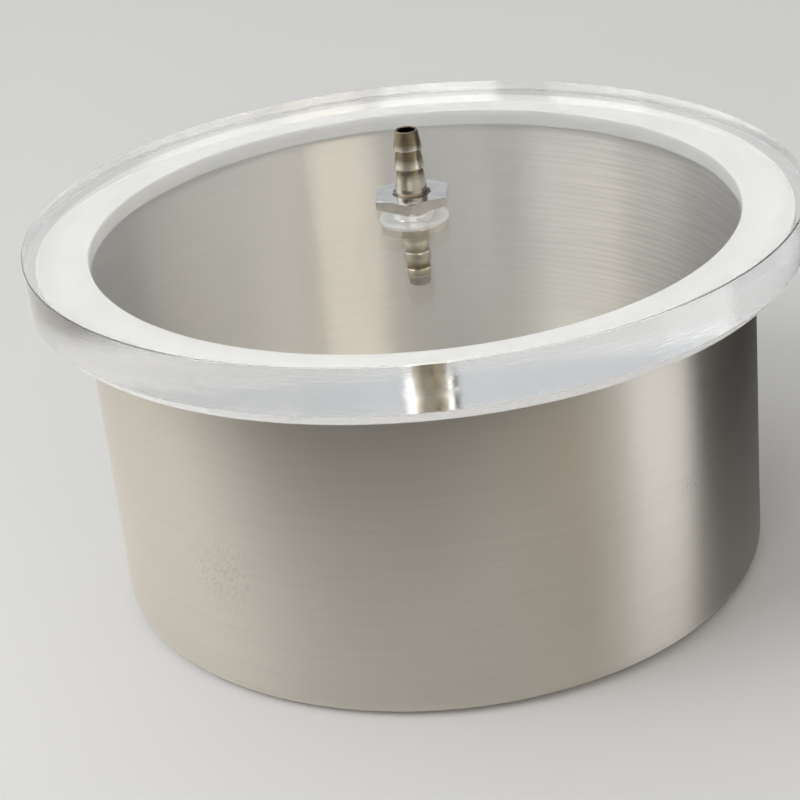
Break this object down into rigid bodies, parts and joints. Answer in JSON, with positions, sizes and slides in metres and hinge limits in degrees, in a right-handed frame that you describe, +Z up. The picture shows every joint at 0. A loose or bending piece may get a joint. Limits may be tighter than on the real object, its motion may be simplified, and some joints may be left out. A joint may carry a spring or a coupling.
{
  "type": "vacuum chamber",
  "caption": "Round stainless steel pot with a silicone rim gasket and a thick clear acrylic lid, with a hose barb and lock nut through the lid's middle.",
  "frame": {"origin": "middle of the pot's flat base, on the surface that the chamber stands on", "axes": "+Z up, along the axis of the pot, the lid and the hose barb; X and Y are alike but for the turn of the lock nut"},
  "size_m": [0.166, 0.166, 0.0992],
  "materials": {
    "stainless_steel": "fine circumferential brushing",
    "silicone": "milky, satin",
    "acrylic": "clear, polished",
    "plated_brass": "bright nickel plate",
    "plated_nut": "bright nickel plate",
    "washer_silicone": "milky, satin"
  },
  "bodies": {
    "root": {"chamber_pot": "stainless_steel", "rim_gasket": "silicone", "clear_lid": "acrylic", "hose_barb": "plated_brass", "lock_nut": "plated_nut", "sealing_washer": "washer_silicone"}
  },
  "joints": []
}
